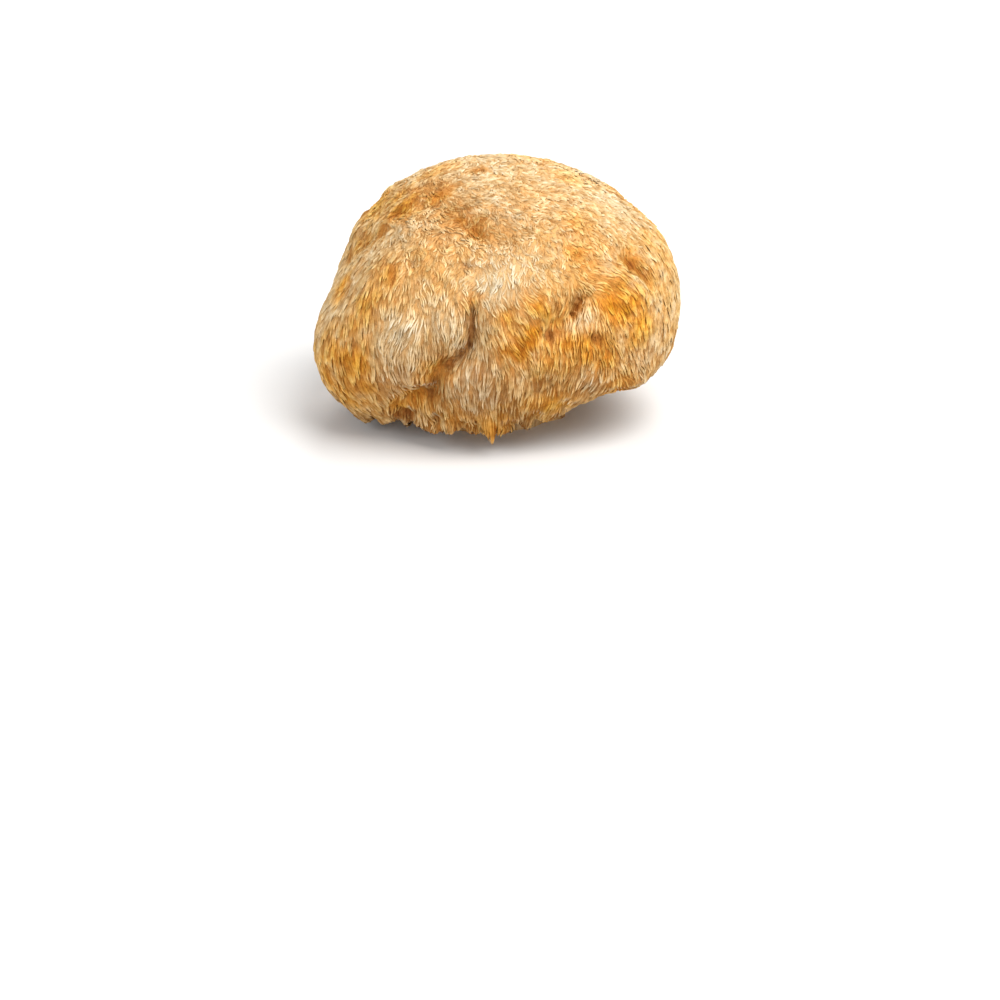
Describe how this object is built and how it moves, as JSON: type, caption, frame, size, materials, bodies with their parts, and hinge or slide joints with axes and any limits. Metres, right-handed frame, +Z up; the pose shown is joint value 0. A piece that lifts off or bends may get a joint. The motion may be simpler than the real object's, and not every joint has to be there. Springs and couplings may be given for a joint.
{
  "type": "dried lion's mane mushroom",
  "caption": "Whole dried lion's mane mushroom head: a lumpy dome covered in drooping spines, with a free-hanging lip, resting on the flat cut of its short stub.",
  "frame": {"origin": "centre of the flat cut at the foot of the stub", "axes": "+Z up, away from the cut; +X towards the head's right side, its longest extent; -Y towards the head's front"},
  "size_m": [0.0763, 0.0659, 0.0533],
  "materials": {
    "dried_flesh": "matte, fibrous"
  },
  "bodies": {
    "root": {"fruiting_body": "dried_flesh"}
  },
  "joints": []
}
